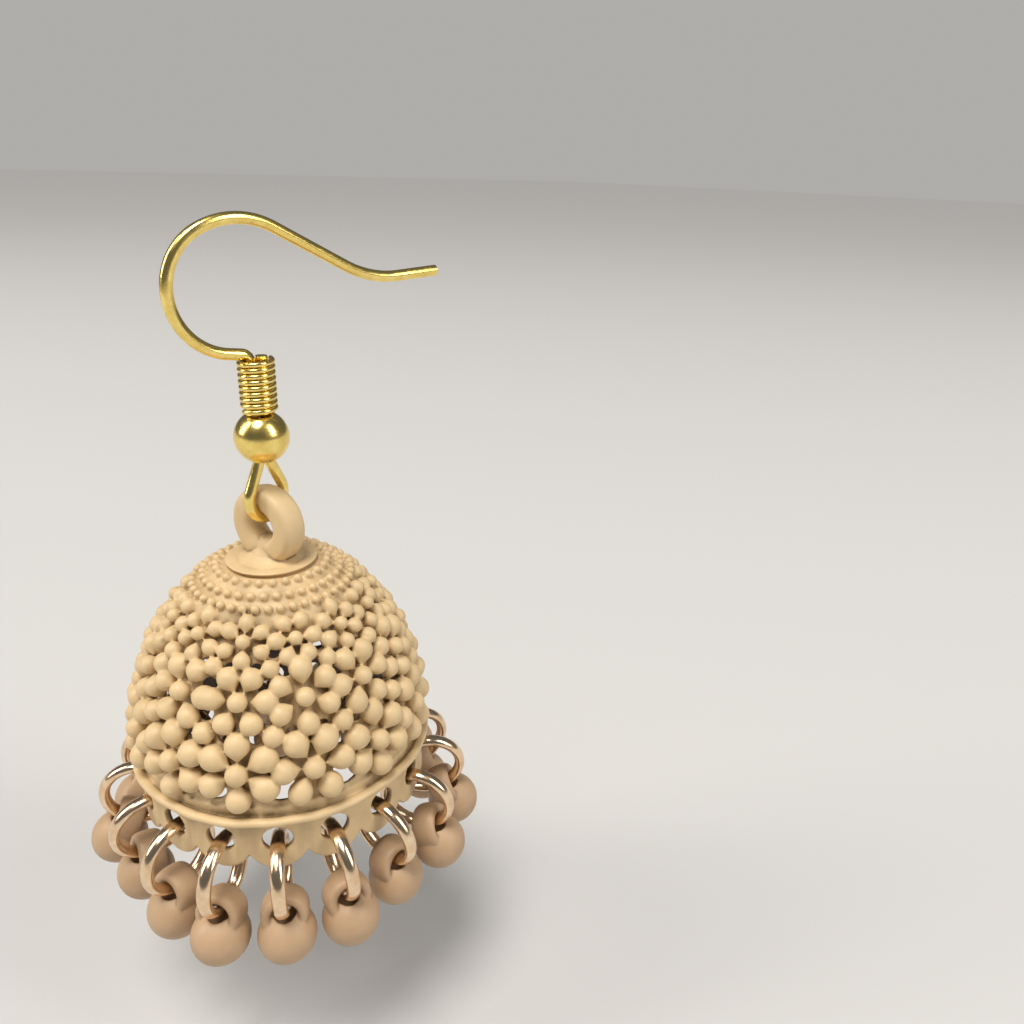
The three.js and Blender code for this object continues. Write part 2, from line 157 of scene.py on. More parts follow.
def outward(made):
    """Turns the faces of a closed mesh outwards."""
    work = bmesh.new()
    work.from_mesh(made.data)
    bmesh.ops.remove_doubles(work, verts=work.verts, dist=1e-6)
    bmesh.ops.recalc_face_normals(work, faces=work.faces)
    work.to_mesh(made.data)
    work.free()
    return made


def baked(made):
    """The object with its modifiers, as a plain mesh. The object itself goes."""
    bpy.context.view_layer.update()
    depsgraph = bpy.context.evaluated_depsgraph_get()
    mesh = bpy.data.meshes.new_from_object(made.evaluated_get(depsgraph))
    name = made.name
    discard(made)
    mesh.name = name
    return in_scene(name, mesh)


def joined(name, parts):
    """Several objects as one mesh."""
    work = bmesh.new()
    for part in parts:
        work.from_mesh(part.data)
    discard(*parts)
    mesh = bpy.data.meshes.new(name)
    work.to_mesh(mesh)
    work.free()
    return in_scene(name, mesh)


def finished(made, finish, body, nodes):
    """Puts a piece in its place in the frame, with its finish, on the body that carries it."""
    made.data.transform(BELL_FRAME)
    made.data.materials.clear()
    made.data.materials.append(finish)
    made.data.shade_smooth()
    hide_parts(*nodes)
    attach(made, body)
    made.data.calc_loop_triangles()
    print(made.name, "triangles:", len(made.data.loop_triangles))


# %% [markdown]
# ## Camera
# The picture is taken from close by, a little above the bell and from its side. At this distance
# the lens shows strong perspective, so the place matters as much as the direction. The camera
# also leans two degrees.

# %% Camera at the photograph's viewing angle
CAMERA_PLACE = Vector((-18.97, -42.51, 3.10)) * MILLIMETRE
CAMERA_HEADING = 41.83  # degrees from +Y towards +X
CAMERA_DIP = 22.12  # degrees below the horizon
CAMERA_LEAN = 1.99
LENS = 29.85

lens = bpy.data.cameras.new("camera")
lens.lens = LENS
lens.clip_start = 0.002
lens.clip_end = 5
camera = in_scene("camera", lens)
camera.matrix_world = (
    Matrix.Translation(CAMERA_PLACE)
    @ Matrix.Rotation(math.radians(-CAMERA_HEADING), 4, "Z")
    @ Matrix.Rotation(math.radians(90 - CAMERA_DIP), 4, "X")
    @ Matrix.Rotation(math.radians(CAMERA_LEAN), 4, "Z")
)
bpy.context.scene.camera = camera
print("camera at", [round(x, 4) for x in camera.matrix_world.translation])

# %% [markdown]
# ## Finishes
# Three finishes cover the whole earring: matte beige paint on the castings, yellow gold on the
# hook, and rose gold on the rings. A few short helpers add a node and fill its sockets by name,
# which keeps the trees readable.

# %% Helpers for node trees
def put(tree, socket, value):
    """Links a socket to another one, or sets its value."""
    if isinstance(value, bpy.types.NodeSocket):
        tree.links.new(value, socket)
    else:
        socket.default_value = value


def feed(tree, node, **inputs):
    """Fills a node's sockets. A space in a socket's name is written as an underscore."""
    for key, value in inputs.items():
        name = key.replace("_", " ")
        put(tree, next(s for s in node.inputs if s.name == name and s.enabled), value)
    return node


def add(tree, kind, settings=None, **inputs):
    """A new node, with its settings and its sockets."""
    made = tree.nodes.new(kind)
    for key, value in (settings or {}).items():
        setattr(made, key, value)
    return feed(tree, made, **inputs)


def mixed(tree, share, first, second):
    """A colour between two others."""
    mix = add(tree, "ShaderNodeMix", {"data_type": "RGBA"}, Factor=share)
    put(tree, mix.inputs[6], first)  # 6 and 7 are its two colours
    put(tree, mix.inputs[7], second)
    return mix.outputs[2]


def ranged(tree, value, start, end, low=0.0, high=1.0):
    """A value that runs from low to high while the given one runs from start to end."""
    made = add(tree, "ShaderNodeMapRange", Value=value, From_Min=start, From_Max=end)
    return feed(tree, made, To_Min=low, To_Max=high).outputs["Result"]


def noise(tree, scale, detail, roughness=0.5):
    """Noise that stays fixed to the piece."""
    place = add(tree, "ShaderNodeTexCoord").outputs["Object"]
    made = add(
        tree, "ShaderNodeTexNoise", Vector=place, Scale=scale, Detail=detail, Roughness=roughness
    )
    return made.outputs["Fac"]


def new_group(name, kind, inputs, outputs):
    """A node group with named sockets. Each is given its type, or a number as its first value."""
    tree = bpy.data.node_groups.new(name, kind)
    for way, sockets in (("INPUT", inputs), ("OUTPUT", outputs)):
        for label, given in sockets.items():
            form = given if isinstance(given, str) else type(given).__name__.title()
            socket_type = "NodeSocket" + form
            socket = tree.interface.new_socket(name=label, in_out=way, socket_type=socket_type)
            if form != given:
                socket.default_value = given
    inner = tree.nodes.new("NodeGroupInput").outputs
    return tree, inner, tree.nodes.new("NodeGroupOutput")


# %% [markdown]
# Enamel that is sprayed on a small casting is never quite even, so its tone wanders a little at
# random. Shade is also painted in: the high spots keep the plain paint, the corners are darkened
# towards dark brown as painted shade, and the inside of the bell is painted near-black as shade.
# The group below mixes those tones. Two attributes of the mesh tell it where the painted shade
# goes, and both are worked out further down.

# %% Uneven paint and painted shade, as a group
FINISH_OUTPUTS = {"Color": "Color", "Roughness": "Float", "Height": "Float"}
CLOUD_TONES = (0.35, 0.65, -0.08, 0.12)  # the noise's own range, and the share of the dark shade colour it mixes in at random as tone
CLOUD_ROUGHNESS = (0.3, 0.7, 0.42, 0.58)


def paint_group():
    paints = {"Paint": "Color", "Corner Paint": "Color", "Inside Paint": "Color"}
    sizes = {"Cloud Size": 600.0, "Grain Size": 9000.0}
    tree, given, target = new_group(
        "uneven_paint", "ShaderNodeTree", {**paints, **sizes}, FINISH_OUTPUTS
    )
    cloud = noise(tree, given["Cloud Size"], detail=3.0, roughness=0.6)
    grain = noise(tree, given["Grain Size"], detail=2.0)
    hollow = add(tree, "ShaderNodeAttribute", {"attribute_name": "hollow"}).outputs["Fac"]
    inside = add(tree, "ShaderNodeAttribute", {"attribute_name": "inside"}).outputs["Fac"]
    shade_and_tone = add(tree, "ShaderNodeMath", {"operation": "ADD", "use_clamp": True})
    put(tree, shade_and_tone.inputs[0], hollow)
    put(tree, shade_and_tone.inputs[1], ranged(tree, cloud, *CLOUD_TONES))
    outer = mixed(tree, shade_and_tone.outputs[0], given["Paint"], given["Corner Paint"])
    feed(
        tree,
        target,
        Color=mixed(tree, inside, outer, given["Inside Paint"]),
        Roughness=ranged(tree, cloud, *CLOUD_ROUGHNESS),
        Height=grain,
    )
    return tree


uneven_paint = paint_group()


def new_finish(name):
    finish = bpy.data.materials.new(name)
    finish.use_nodes = True
    tree = finish.node_tree
    tree.nodes.clear()
    surface = add(tree, "ShaderNodeBsdfPrincipled")
    add(tree, "ShaderNodeOutputMaterial", Surface=surface.outputs[0])
    return finish, tree, surface


def finish_from(group, name, values, relief, metallic=0):
    """A material that takes its colour, roughness and fine relief from a group."""
    finish, tree, surface = new_finish(name)
    node = add(tree, "ShaderNodeGroup", {"node_tree": group})
    for label, value in values.items():
        node.inputs[label].default_value = value
    strength, depth = relief
    bump = add(
        tree, "ShaderNodeBump", Height=node.outputs["Height"], Strength=strength, Distance=depth
    )
    feed(
        tree,
        surface,
        Base_Color=node.outputs["Color"],
        Roughness=node.outputs["Roughness"],
        Normal=bump.outputs["Normal"],
        Metallic=metallic,
    )
    return finish


# The inside of the bell is painted this near-black colour, as shade.
INSIDE_SHADE = (0.085, 0.050, 0.024)
PAINT_RELIEF = (0.12, 0.02 * MILLIMETRE)  # strength and depth


def paint_finish(name, paint, corner, cloud_size):
    values = {
        "Paint": (*paint, 1),
        "Corner Paint": (*corner, 1),
        "Inside Paint": (*INSIDE_SHADE, 1),
        "Cloud Size": cloud_size,
    }
    return finish_from(uneven_paint, name, values, PAINT_RELIEF)


# The corner colour is a dark brown shade, painted into the corners by the curvature mask.
cast_paint = paint_finish(
    "beige_enamel", paint=(0.67, 0.49, 0.265), corner=(0.24, 0.155, 0.065), cloud_size=500
)
drop_paint = paint_finish(
    "beige_enamel_on_drops", paint=(0.47, 0.31, 0.18), corner=(0.17, 0.095, 0.055), cloud_size=420
)
print("finishes:", [m.name for m in bpy.data.materials])

# %% [markdown]
# Plated wire is smooth, but it is drawn and bent by tools, which leave faint marks and dull
# spots. One group serves both golds: it varies the colour and the roughness a little.

# %% Handled metal, as a group
METAL_RELIEF = (0.15, 0.01 * MILLIMETRE)
MARKS = (0.35, 0.7)  # the range of the noise that goes from clean to worn metal


def metal_group():
    metals = {"Metal": "Color", "Worn Metal": "Color"}
    numbers = {"Mark Size": 1500.0, "Lowest Roughness": 0.12, "Highest Roughness": 0.3}
    tree, given, target = new_group(
        "handled_metal", "ShaderNodeTree", {**metals, **numbers}, FINISH_OUTPUTS
    )
    marks = noise(tree, given["Mark Size"], detail=4.0, roughness=0.65)
    share = ranged(tree, marks, *MARKS)
    feed(
        tree,
        target,
        Color=mixed(tree, share, given["Metal"], given["Worn Metal"]),
        Roughness=ranged(tree, share, 0, 1, given["Lowest Roughness"], given["Highest Roughness"]),
        Height=marks,
    )
    return tree


handled_metal = metal_group()


def metal_finish(name, metal, worn, mark_size, roughness):
    values = {
        "Metal": (*metal, 1),
        "Worn Metal": (*worn, 1),
        "Mark Size": mark_size,
        "Lowest Roughness": roughness[0],
        "Highest Roughness": roughness[1],
    }
    return finish_from(handled_metal, name, values, METAL_RELIEF, metallic=1)


yellow_gold = metal_finish(
    "yellow_gold",
    metal=(0.94, 0.74, 0.25),
    worn=(0.80, 0.58, 0.15),
    mark_size=1800,
    roughness=(0.16, 0.30),
)
rose_gold = metal_finish(
    "rose_gold",
    metal=(0.90, 0.71, 0.49),
    worn=(0.74, 0.51, 0.31),
    mark_size=1500,
    roughness=(0.14, 0.28),
)
print("finishes:", [m.name for m in bpy.data.materials])

# %% [markdown]
# ## Copies on places
# Petals, small balls, rings and drops all repeat one shape in many places. A Geometry Nodes tree
# does that. It reads a turn and a size from attributes of a cloud of points, puts a copy of the
# shape on each, and makes the copies real.

# %% Tree that puts copies on places
def close_tree(tree, target, geometry, finish):
    """Every tree ends alike: what it has made becomes real and gets its finish."""
    real = add(tree, "GeometryNodeRealizeInstances", Geometry=geometry).outputs["Geometry"]
    coated = add(tree, "GeometryNodeSetMaterial", Geometry=real, Material=finish)
    feed(tree, target, Geometry=coated.outputs["Geometry"])
    return tree


def copies_tree():
    tree, given, target = new_group(
        "copies_on_places",
        "GeometryNodeTree",
        {"Places": "Geometry", "Shape": "Object", "Finish": "Material"},
        {"Geometry": "Geometry"},
    )
    turn = add(tree, "GeometryNodeInputNamedAttribute", {"data_type": "QUATERNION"}, Name="turn")
    size = add(tree, "GeometryNodeInputNamedAttribute", {"data_type": "FLOAT_VECTOR"}, Name="size")
    spread = add(
        tree,
        "GeometryNodeInstanceOnPoints",
        Points=given["Places"],
        Instance=add(tree, "GeometryNodeObjectInfo", Object=given["Shape"]).outputs["Geometry"],
        Rotation=turn.outputs[0],
        Scale=size.outputs[0],
    )
    return close_tree(tree, target, spread.outputs["Instances"], given["Finish"])


copies_on_places = copies_tree()
print("nodes in the tree of copies:", len(copies_on_places.nodes))


def grown(made, tree, values):
    """Runs a tree on an object with named inputs, and gives the plain mesh."""
    step = made.modifiers.new(tree.name, "NODES")
    step.node_group = tree
    for label, value in values.items():
        step[tree.interface.items_tree[label].identifier] = value
    return baked(made)


def copies(name, shape, places, finish=None):
    """Copies of a shape. A place is a point, a turn as a 3x3 matrix, and a size along each axis."""
    cloud = mesh_piece(name, [point for point, turn, size in places], [])
    turns = cloud.data.attributes.new("turn", "QUATERNION", "POINT")
    turns.data.foreach_set("value", [x for p, turn, s in places for x in turn.to_quaternion()])
    sizes = cloud.data.attributes.new("size", "FLOAT_VECTOR", "POINT")
    sizes.data.foreach_set("vector", [x for p, turn, size in places for x in size])
    print(name, "copies:", len(places))
    return grown(cloud, copies_on_places, {"Shape": shape, "Finish": finish})


# %% [markdown]
# ## The bell's wall
# The wall is a dome that is nearly half of an ellipsoid. A point on its curve is named by an
# angle, so that the same rule gives the outside, the inside and the direction straight out of
# the wall at any place. The reliefs and the piercings use that rule as well.

# %% Curve of the wall
RIM_RADIUS = 9.0
RIM_PROUD = 0.5
BELL_HEIGHT = 11.9
BELL_FULLNESS = 1.9
CROWN_RISE = 0.5
WALL_THICKNESS = 0.55
CAP_THICKNESS = 0.3
FLOWER_COLUMNS = 13

WALL_RADIUS = RIM_RADIUS - RIM_PROUD
WALL_CROWN = BELL_HEIGHT + CROWN_RISE
SMALL_ANGLE = 1e-3


def wall_curve(angle, inset=0.0):
    radius = (WALL_RADIUS - inset) * math.cos(angle)
    height = (WALL_CROWN - inset) * math.sin(angle) ** (2 / BELL_FULLNESS)
    return radius, height


def wall_angle(height, inset=0.0):
    return math.asin((height / (WALL_CROWN - inset)) ** (BELL_FULLNESS / 2))


def wall_slope(angle):
    """The direction up the wall at an angle of its curve, as a step in radius and in height."""
    lower, upper = wall_curve(max(angle - SMALL_ANGLE, 0)), wall_curve(angle + SMALL_ANGLE)
    return Vector((upper[0] - lower[0], upper[1] - lower[1])).normalized()


def wall_place(direction, height, rise=0.0):
    """A point over the wall, with a frame: X along the row, Y up the wall and Z straight out."""
    angle = wall_angle(height)
    along = wall_slope(angle)
    radius, level = wall_curve(angle)
    ahead = Vector(polar(1, direction, 0))
    row = Vector((-ahead.y, ahead.x, 0))
    up = along.x * ahead + Vector((0, 0, along.y))
    out = row.cross(up)
    point = radius * ahead + Vector((0, 0, level)) + rise * out
    return point, Matrix((row, up, out)).transposed()


FLOWER_GROUND = 0.55  # the flowers are measured this far outside the wall's curve
DRAWN_IN_ABOVE = 9
DRAWN_IN = 0.93


def flower_pitch(height):
    """The room that a flower has along its row. Near the dots the flowers are drawn in a little."""
    radius = wall_curve(wall_angle(height))[0] + FLOWER_GROUND
    drawn_in = DRAWN_IN if height > DRAWN_IN_ABOVE else 1
    return drawn_in * 2 * math.pi * radius / FLOWER_COLUMNS


print("flower pitch low on the wall:", round(flower_pitch(3), 2))

# %% [markdown]
# The wall is turned in two skins. Behind the flowers it lies a little deeper than the flowers'
# own ground, so that the petals stand out like real beads. It comes up again under the dots, and
# goes down once more round the cap, whose edge throws a thin dark line there.

# %% Turn the wall
# height, and how deep the wall lies under its own curve there
WALL_SINKS = ((0, 0.30), (9.2, 0.30), (10.3, 0.0), (11.58, 0.0), (11.70, 0.22))
CEILING = BELL_HEIGHT - CAP_THICKNESS - WALL_THICKNESS
WALL_SIDES = 12 * FLOWER_COLUMNS


def sunk_point(angle):
    """A point of the outer skin, which lies straight under the wall's curve."""
    radius, height = wall_curve(angle)
    along = wall_slope(angle)
    sink = float(np.interp(height, *zip(*WALL_SINKS)))
    return radius - sink * along.y, height + sink * along.x


def bell_wall(steps=60):
    cap_middle = BELL_HEIGHT - CAP_THICKNESS / 2
    top = wall_angle(cap_middle)
    inner_top = wall_angle(CEILING, WALL_THICKNESS)
    outer = [sunk_point(top * (steps - i) / steps) for i in range(steps + 1)]
    inner = [wall_curve(inner_top * i / steps, WALL_THICKNESS) for i in range(steps + 1)]
    profile = [(0, cap_middle), *outer, *inner, (0, CEILING)]
    return turned_piece("wall", profile, WALL_SIDES)


wall = bell_wall()
print("wall faces:", len(wall.data.polygons))

# %% [markdown]
# ## Piercings
# Light comes through between the flowers, because the casting is pierced there. The holes are not
# drilled: each is a soft opening with a size of its own. One round bar serves as the cutter. It is
# copied to every opening, squeezed to that opening's width and height, and taken from the wall
# with a Boolean modifier.

# %% Cut the piercings
FLOWER_ROWS = (2.88, 6.62, 9.30)
COLUMN_STEP = 2 * math.pi / FLOWER_COLUMNS
FIRST_COLUMN = math.radians(-133.2)

# place: share of the way to the next column. lean: how far it moves towards the flower whose
# petals point sideways. The half sizes are in millimetres.
OPENINGS = [
    dict(beside=0, place=0.50, lean=0.06, height=1.62, across=0.96, up=0.70),
    dict(beside=0, place=0.50, lean=0.08, height=3.90, across=0.50, up=0.42),
    dict(beside=1, place=0.22, lean=0.00, height=4.75, across=0.44, up=0.42),
    dict(beside=1, place=0.78, lean=0.00, height=4.75, across=0.44, up=0.42),
    dict(beside=1, place=0.50, lean=0.08, height=5.80, across=0.52, up=0.46),
    dict(beside=1, place=0.50, lean=0.08, height=7.20, across=0.48, up=0.42),
    dict(beside=2, place=0.25, lean=0.00, height=8.05, across=0.38, up=0.40),
    dict(beside=2, place=0.76, lean=0.00, height=8.05, across=0.38, up=0.40),
    dict(beside=2, place=0.50, lean=0.06, height=8.85, across=0.34, up=0.30),
]


def is_turned(row, column):
    """Every second flower stands with two of its petals pointing sideways."""
    return (row + column) % 2 == 0


def opening_places():
    places = []
    for column in range(FLOWER_COLUMNS):
        for opening in OPENINGS:
            sign = 1 if is_turned(opening["beside"], column) else -1
            share = column + opening["place"] + sign * opening["lean"]
            point, turn = wall_place(FIRST_COLUMN + share * COLUMN_STEP, opening["height"])
            places.append((point, turn, (opening["across"], opening["up"], 1)))
    return places


def round_bar(name, sides, half_length=1.2):
    """A bar of radius 1 that cuts round openings, however far it is squeezed."""
    corners = [(0, half_length), (1, half_length), (1, -half_length), (0, -half_length)]
    return turned_piece(name, corners, sides)


def cut(made, cutters):
    """Takes the cutters from a piece."""
    step = made.modifiers.new("cut", "BOOLEAN")
    step.operation = "DIFFERENCE"
    step.solver = "EXACT"
    step.object = cutters
    plain = baked(made)
    discard(cutters)
    return plain


cutter = round_bar("cutter", sides=14)
wall = cut(wall, copies("openings", cutter, opening_places()))
print("pierced wall faces:", len(wall.data.polygons))

# %% [markdown]
# ## Flowers
# Each flower has six petals round a ball. A petal is a teardrop: a round bulb at its outer end,
# drawn out to a nib that points at the ball. It is turned like a bead and laid on its side. A
# shape that is copied so often needs few faces as a rule. These may be finer, because they are
# melted away further down and a new skin takes their place.

# %% Petals and small balls
PETAL_REACH = 0.388  # middle of the bulb, as a share of the flower's pitch
PETAL_BULB = 0.168
PETAL_NIB = 0.15  # the nib's end, from the flower's middle
NIB_LIFT = -0.05  # how far the nib points out of the wall, as a slope
PETAL_RISE = 0.01  # how far it stands over the wall's curve
PETAL_JITTER = 0.025  # how far a petal may stray, as a share of the pitch
PETAL_SIZES = (0.93, 1.06)
PETAL_LENGTHS = (0.94, 1.08)
BULB_STEPS, BULB_STEP = 10, 13.6  # the bulb is turned in ten steps, in degrees, up to the nib
NIB_STEPS = (0.3, 0.6, 0.85, 0.95)
NIB_TAPER = 1.1
CENTRE_BALL = 0.146
CENTRE_RISE = 0.22  # in millimetres
STALK = (0.75, 0.75, 1.2)  # the ball's stalk, as shares of the ball
STALK_RISE = -0.1
SMALL_BALL = 0.150
SMALL_BALL_RISE = 0.05
SMALL_BALL_ROWS = (4.88, 8.12)
ORNAMENT_SEED = 7


def petal_profile():
    """Radius and height of a petal of bulb radius 1, with its nib upwards."""
    nib_end = (PETAL_REACH - PETAL_NIB) / PETAL_BULB
    bulb = [math.radians(-90 + BULB_STEP * i) for i in range(1, BULB_STEPS + 1)]
    profile = [(0, -1)] + [(math.cos(a), math.sin(a)) for a in bulb]
    radius, start = profile[-1]
    for share in NIB_STEPS:
        profile.append((radius * (1 - share) ** NIB_TAPER, start + (nib_end - start) * share))
    return [*profile, (0, nib_end)]


def unit_ball(name, sides=18, bands=12):
    turns = [math.pi * i / bands for i in range(1, bands)]
    profile = [(0, 1), *((math.sin(turn), math.cos(turn)) for turn in turns), (0, -1)]
    return turned_piece(name, profile, sides)


def petal_places(direction, height, turned, rng):
    """Six petals lie round a place on the wall, each with its nib towards the middle."""
    pitch = flower_pitch(height)
    middle, facing = wall_place(direction, height)
    climb = facing.col[1].z  # how much higher a step up the wall leads
    places = []
    for step in range(6):
        angle = math.radians(60 * step + (30 if turned else 0))
        reach = (PETAL_REACH + rng.uniform(-1, 1) * PETAL_JITTER) * pitch
        side = reach * math.cos(angle) / middle.xy.length
        rise = reach * math.sin(angle)
        point, local = wall_place(direction + side, height + rise * climb, PETAL_RISE * pitch)
        inward = -(math.cos(angle) * local.col[0] + math.sin(angle) * local.col[1])
        lifted = (inward + NIB_LIFT * local.col[2]).normalized()
        across = lifted.cross(local.col[2]).normalized()
        turn = Matrix((across, lifted.cross(across), lifted)).transposed()
        size = PETAL_BULB * pitch * rng.uniform(*PETAL_SIZES)
        places.append((point, turn, (size, size, size * rng.uniform(*PETAL_LENGTHS))))
    return places


def ornament_places():
    rng = np.random.default_rng(ORNAMENT_SEED)
    petals, balls = [], []
    for column in range(FLOWER_COLUMNS):
        direction = FIRST_COLUMN + column * COLUMN_STEP
        for row, height in enumerate(FLOWER_ROWS):
            pitch = flower_pitch(height)
            petals += petal_places(direction, height, is_turned(row, column), rng)
            size = CENTRE_BALL * pitch
            point, turn = wall_place(direction, height, CENTRE_RISE)
            balls.append((point, turn, (size, size, size)))
            point, turn = wall_place(direction, height, STALK_RISE)
            balls.append((point, turn, [share * size for share in STALK]))
        for height in SMALL_BALL_ROWS:
            size = SMALL_BALL * flower_pitch(height)
            point, turn = wall_place(direction + COLUMN_STEP / 2, height, SMALL_BALL_RISE)
            balls.append((point, turn, (size, size, size)))
    return petals, balls


petal = turned_piece("petal", petal_profile(), sides=18)
ball = unit_ball("ball")
petal_spots, ball_spots = ornament_places()
petals = copies("petals", petal, petal_spots)
balls = copies("balls", ball, ball_spots)

# %% [markdown]
# ## Dots round the cap
# Three rows of fine dots ring the cap. A tree of their own makes a row from four numbers: how
# many dots, the row's radius, its height and the dot's size.

# %% Tree for one row of dots
def dot_row_tree():
    tree, given, target = new_group(
        "row_of_dots",
        "GeometryNodeTree",
        {"Places": "Geometry", "Count": 30, "Row Radius": 3.0, "Height": 11.0, "Dot Radius": 0.2},
        {"Geometry": "Geometry"},
    )
    ring = add(tree, "GeometryNodeMeshCircle", Vertices=given["Count"], Radius=given["Row Radius"])
    level = add(tree, "ShaderNodeCombineXYZ", Z=given["Height"]).outputs[0]
    lifted = add(tree, "GeometryNodeTransform", Geometry=ring.outputs["Mesh"], Translation=level)
    dot = add(tree, "GeometryNodeMeshIcoSphere", Radius=given["Dot Radius"], Subdivisions=2)
    spread = add(
        tree,
        "GeometryNodeInstanceOnPoints",
        Points=lifted.outputs["Geometry"],
        Instance=dot.outputs["Mesh"],
    )
    return close_tree(tree, target, spread.outputs["Instances"], cast_paint)


DOT_RADIUS = 0.25
DOT_ROWS = [
    {"Count": 28, "Height": 11.62, "Row Radius": 3.14},
    {"Count": 35, "Height": 11.18, "Row Radius": 3.87},
    {"Count": 42, "Height": 10.74, "Row Radius": 4.48},
]
row_of_dots = dot_row_tree()
dots = []
for number, row in enumerate(DOT_ROWS, start=1):
    start = mesh_piece(f"dots_{number}", [(0, 0, 0)], [])
    dots.append(grown(start, row_of_dots, {**row, "Dot Radius": DOT_RADIUS}))
print("dots:", sum(row["Count"] for row in DOT_ROWS))

# %% [markdown]
# ## Rim
# The rim is a round bead that stands out from the wall. The wax it was cast from was laid by hand,
# so it is not quite level: a sum of three waves of different lengths moves it a little. Behind it
# the foot of the wall stays plain, in a narrow band whose upper edge is ragged.

# %% Rim and the band behind it
RIM_HEIGHT = 0.46  # its middle is level with the foot of the wall
RIM_DEPTH = 0.56
RIM_SQUARENESS = 0.8
RIM_WAVES = ((4, 0.030, 0.4), (9, 0.024, 1.9), (23, 0.016, 2.7))  # count, height and start
BAND_HEIGHT = 0.72
BAND_DEPTH = 0.35
BAND_INSET = 0.14
BAND_WAVES = ((13, 0.07, 0.9), (31, 0.05, 0.2), (57, 0.05, 1.1), (97, 0.04, 2.0))
RIM_SIDES = 300


def oval(half_width, half_height, sides, power=1.0):
    """Points round an oval. A power below 1 makes it squarer."""
    points = []
    for angle in directions(sides):
        x, y = (math.copysign(abs(v) ** power, v) for v in (math.cos(angle), math.sin(angle)))
        points.append((half_width * x, half_height * y))
    return points


def wander(direction, waves):
    return sum(height * math.sin(count * direction + start) for count, height, start in waves)


def rim_bead():
    section = oval(RIM_DEPTH / 2, RIM_HEIGHT / 2, sides=16, power=RIM_SQUARENESS)
    middle = RIM_RADIUS - RIM_DEPTH / 2
    sections = []
    for angle in directions(RIM_SIDES):
        lift = wander(angle, RIM_WAVES)
        reach = middle + wander(angle + 1, RIM_WAVES) / 2
        sections.append((angle, [(reach + x, lift + y) for x, y in section]))
    return ring_of_sections("rim", sections)


def ragged_band():
    outer, inner = WALL_RADIUS - BAND_INSET, WALL_RADIUS - BAND_DEPTH
    sections = []
    for angle in directions(RIM_SIDES):
        top = BAND_HEIGHT + wander(angle, BAND_WAVES)
        sections.append((angle, [(outer, 0), (outer, top), (inner, top), (inner, 0)]))
    return ring_of_sections("band", sections)


rim = rim_bead()
band = ragged_band()
print("rim and band faces:", len(rim.data.polygons), len(band.data.polygons))

# %% [markdown]
# ## Skirt
# Under the rim hangs a band with a lobe for every drop, and a hole in each lobe. The band is a
# plain ring whose lower edge follows the lobes, and the holes are cut like the piercings.

# %% Skirt with its holes
SKIRT_RADIUS = 8.35
SKIRT_THICKNESS = 0.44
SKIRT_BEVEL = 0.14
SKIRT_EDGE = 0.6  # the share of the thickness that is left at the lower edge
HOLE_RADIUS = 0.85
HOLE_HEIGHT = -1.42
LOBE_WEB = 0.85  # the metal beside a hole
LOBE_DROP = 0.3
LOBE_STEPS = 24
SKIRT_TURN = -141.8
DROP_COUNT = 17


def skirt_foot(direction):
    """Height of the lower edge, which is an arc under each hole."""
    step = 2 * math.pi / DROP_COUNT
    turn = (direction - math.radians(SKIRT_TURN)) / step
    along = (turn - round(turn)) * step * SKIRT_RADIUS
    lobe = HOLE_RADIUS + LOBE_WEB
    return HOLE_HEIGHT - LOBE_DROP - math.sqrt(max(lobe**2 - along**2, 0))


def skirt_band():
    half = SKIRT_THICKNESS / 2
    sections = []
    for turn in directions(DROP_COUNT * LOBE_STEPS):
        angle = math.radians(SKIRT_TURN) + turn
        foot = skirt_foot(angle)
        side = [(half, 0), (half, foot + SKIRT_BEVEL), (SKIRT_EDGE * half, foot)]
        outline = side + [(-x, z) for x, z in reversed(side)]
        sections.append((angle, [(SKIRT_RADIUS + x, z) for x, z in outline]))
    return ring_of_sections("skirt", sections)


def hole_places():
    places = []
    for turn in directions(DROP_COUNT):
        out = Vector(polar(1, math.radians(SKIRT_TURN) + turn, 0))
        row = Vector((-out.y, out.x, 0))
        point = SKIRT_RADIUS * out + Vector((0, 0, HOLE_HEIGHT))
        turn = Matrix((row, Vector((0, 0, 1)), out)).transposed()
        places.append((point, turn, (HOLE_RADIUS, HOLE_RADIUS, 1)))
    return places


fine_cutter = round_bar("fine_cutter", sides=28)
skirt = cut(skirt_band(), copies("skirt_holes", fine_cutter, hole_places()))
print("skirt faces:", len(skirt.data.polygons))

# %% [markdown]
# ## One casting
# On the real bell all of this is one piece of metal under a coat of paint, so no two forms meet
# in a sharp line. A Remesh modifier in voxel mode melts the parts into one skin, and a Smooth
# modifier rounds the meeting lines as the paint does. Decimate then takes out the triangles that
# the flat places don't need, and the few loose bits that are left beside the skin are deleted.

# %% Melt the parts into one casting
VOXEL = 0.066
SMOOTH_FACTOR = 0.5
SMOOTH_STEPS = 3
CASTING_TRIANGLES = 195000


def melted(name, parts, voxel, smooth_steps=SMOOTH_STEPS):
    made = joined(name, parts)
    remesh = made.modifiers.new("melt", "REMESH")
    remesh.mode = "VOXEL"
    remesh.voxel_size = voxel
    remesh.adaptivity = 0
    smooth = made.modifiers.new("smooth", "SMOOTH")
    smooth.factor = SMOOTH_FACTOR
    smooth.iterations = smooth_steps
    return baked(made)


def thinned(made, triangles):
    made.data.calc_loop_triangles()
    count = len(made.data.loop_triangles)
    if count > triangles:
        thin = made.modifiers.new("thin", "DECIMATE")
        thin.ratio = triangles / count
        made = baked(made)
    return made


